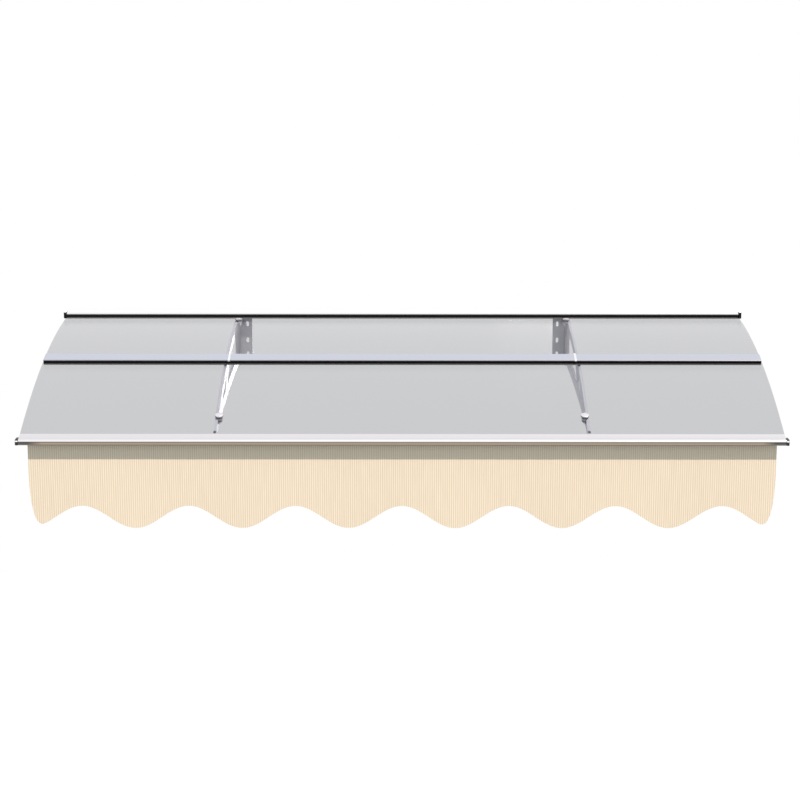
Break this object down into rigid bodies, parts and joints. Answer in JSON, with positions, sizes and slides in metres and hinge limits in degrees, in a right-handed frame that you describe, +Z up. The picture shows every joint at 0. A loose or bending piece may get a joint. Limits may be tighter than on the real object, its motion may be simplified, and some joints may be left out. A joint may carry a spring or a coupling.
{
  "type": "door awning",
  "caption": "Wall-mounted door awning with curved clear panels on cast truss brackets, framed by aluminium bars, with a scalloped cloth valance at the front.",
  "frame": {"origin": "on the wall, midway between the two wall flanges, level with their middle slots", "axes": "+X along the width to the right seen from the front, +Y into the wall, +Z up; the awning reaches out along -Y"},
  "size_m": [2.0166, 0.8164, 0.4534],
  "materials": {
    "bar_aluminium": "satin anodised extrusion",
    "seal_rubber": "black EPDM",
    "cap_plastic": "black moulded plastic",
    "fastener_steel": "bright stainless steel",
    "panel_polycarbonate": "clear grey polycarbonate sheet",
    "valance_cloth": "beige ribbed awning cloth",
    "bracket_cast": "silver coated casting"
  },
  "bodies": {
    "root": {"rear_bar": "bar_aluminium", "rear_bar_seal": "seal_rubber", "rear_bar_cap_left": "cap_plastic", "rear_bar_cap_right": "cap_plastic", "mid_bar": "bar_aluminium", "mid_bar_seal_front": "seal_rubber", "mid_bar_seal_rear": "seal_rubber", "mid_bar_plug_left": "cap_plastic", "mid_bar_plug_right": "cap_plastic", "mid_bar_clip_left": "fastener_steel", "mid_bar_clip_right": "fastener_steel", "front_bar": "bar_aluminium", "front_bar_cap_left": "cap_plastic", "front_bar_cap_right": "cap_plastic", "rear_panel": "panel_polycarbonate", "front_panel": "panel_polycarbonate", "valance": "valance_cloth", "valance_keder": "cap_plastic", "bracket_left": "bracket_cast", "bracket_right": "bracket_cast", "arm_pad_left": "seal_rubber", "arm_pad_right": "seal_rubber", "tip_screw_left": "fastener_steel", "tip_screw_right": "fastener_steel", "clamp_bolt_rear_left": "fastener_steel", "clamp_bolt_rear_right": "fastener_steel", "clamp_bolt_front_left": "fastener_steel", "clamp_bolt_front_right": "fastener_steel", "clamp_washer_rear_left": "seal_rubber", "clamp_washer_rear_right": "seal_rubber", "clamp_washer_front_left": "seal_rubber", "clamp_washer_front_right": "seal_rubber", "clamp_pad_rear_left": "seal_rubber", "clamp_pad_rear_right": "seal_rubber", "clamp_pad_front_left": "seal_rubber", "clamp_pad_front_right": "seal_rubber", "clamp_nut_rear_left": "fastener_steel", "clamp_nut_rear_right": "fastener_steel", "clamp_nut_front_left": "fastener_steel", "clamp_nut_front_right": "fastener_steel"}
  },
  "joints": []
}
